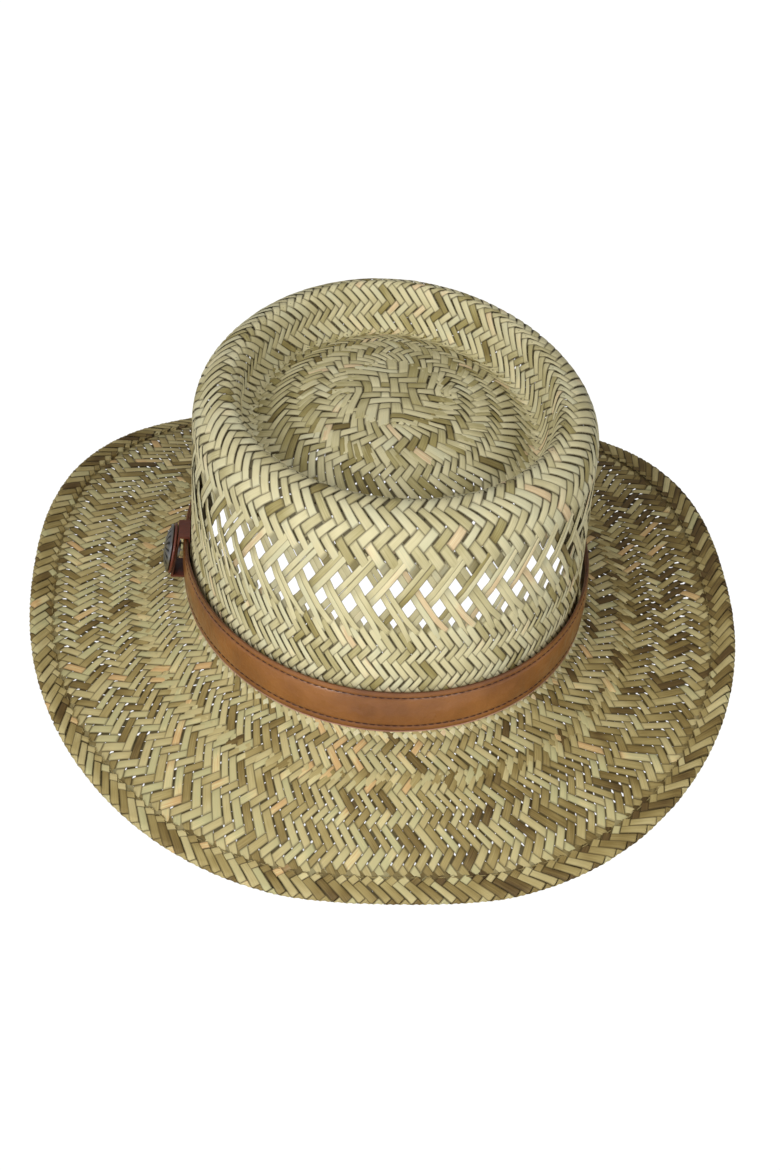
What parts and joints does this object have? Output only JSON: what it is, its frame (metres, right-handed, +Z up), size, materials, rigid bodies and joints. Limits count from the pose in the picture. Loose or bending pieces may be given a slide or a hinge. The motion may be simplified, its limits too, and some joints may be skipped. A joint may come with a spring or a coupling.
{
  "type": "cowboy hat",
  "caption": "Woven straw cowboy hat with a domed and creased oval crown, open-work band, shaped wired brim and a lift-off leather hatband with a round metal ornament.",
  "frame": {"origin": "on the floor under the middle of the brim, where the front and back of the brim rest", "axes": "+Z up, +Y towards the front of the hat, +X towards the wearer's right"},
  "size_m": [0.3118, 0.3584, 0.1337],
  "materials": {
    "straw": "matt woven seagrass",
    "hem_straw": "matt folded seagrass",
    "wire": "drawn wire",
    "brown_thread": "waxed thread",
    "pale_thread": "cotton thread",
    "sweatband_cloth": "matt cloth",
    "label": "blank satin tape",
    "lining": "raw suede",
    "leather": "smooth semi-gloss",
    "silver": "aged polish"
  },
  "bodies": {
    "hat": {"crown_dome": "straw", "crown_rim": "straw", "crown_vent_band": "straw", "crown_wall": "straw", "brim": "straw", "brim_hem": "hem_straw", "brim_wire": "wire", "hem_stitching": "pale_thread", "sweatband": "sweatband_cloth", "sweatband_stitching": "pale_thread", "size_label": "label"},
    "hatband": {"hatband_lining": "lining", "hatband_strap": "leather", "hatband_lower_stitching": "brown_thread", "hatband_upper_stitching": "brown_thread", "hatband_keeper": "leather", "ornament_rosette": "leather", "ornament_screw": "silver"},
    "ornament": {"ornament_cap": "silver"}
  },
  "joints": [
    {"name": "hatband_lift", "type": "slide", "parent": "hat", "child": "hatband", "axis": [0, 0, 1], "range_m": [0, 0.11]},
    {"name": "ornament_turn", "type": "hinge", "parent": "hatband", "child": "ornament", "pos_m": [-0.09283, -0.01233, 0.04938], "axis": [-0.9882, 0.0009, 0.153], "continuous": true}
  ]
}
